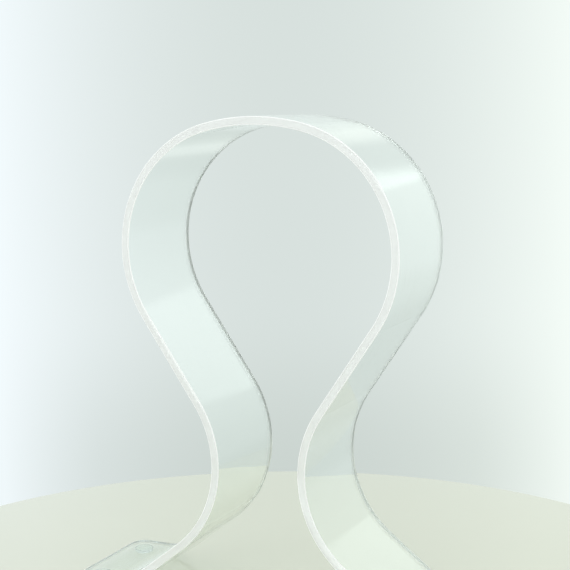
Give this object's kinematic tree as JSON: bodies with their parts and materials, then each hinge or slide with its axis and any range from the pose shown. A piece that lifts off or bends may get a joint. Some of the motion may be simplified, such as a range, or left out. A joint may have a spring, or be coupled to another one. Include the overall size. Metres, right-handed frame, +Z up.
{
  "type": "headphone stand",
  "caption": "Clear omega-shaped headphone stand bent from an acrylic strip, with a round loop for the headband, a narrow neck and flared flat feet.",
  "frame": {"origin": "on the table, in the middle of the stand's footprint", "axes": "+Z up, +X across the loop, +Y along the depth of the strip, away from the front"},
  "size_m": [0.21, 0.06, 0.24],
  "materials": {
    "cast_acrylic": "clear, with polished faces and polished cut edges",
    "silicone": "clear, soft and slightly cloudy"
  },
  "bodies": {
    "root": {"acrylic_band": "cast_acrylic", "bumper_left_front": "silicone", "bumper_left_back": "silicone", "bumper_right_front": "silicone", "bumper_right_back": "silicone"}
  },
  "joints": []
}
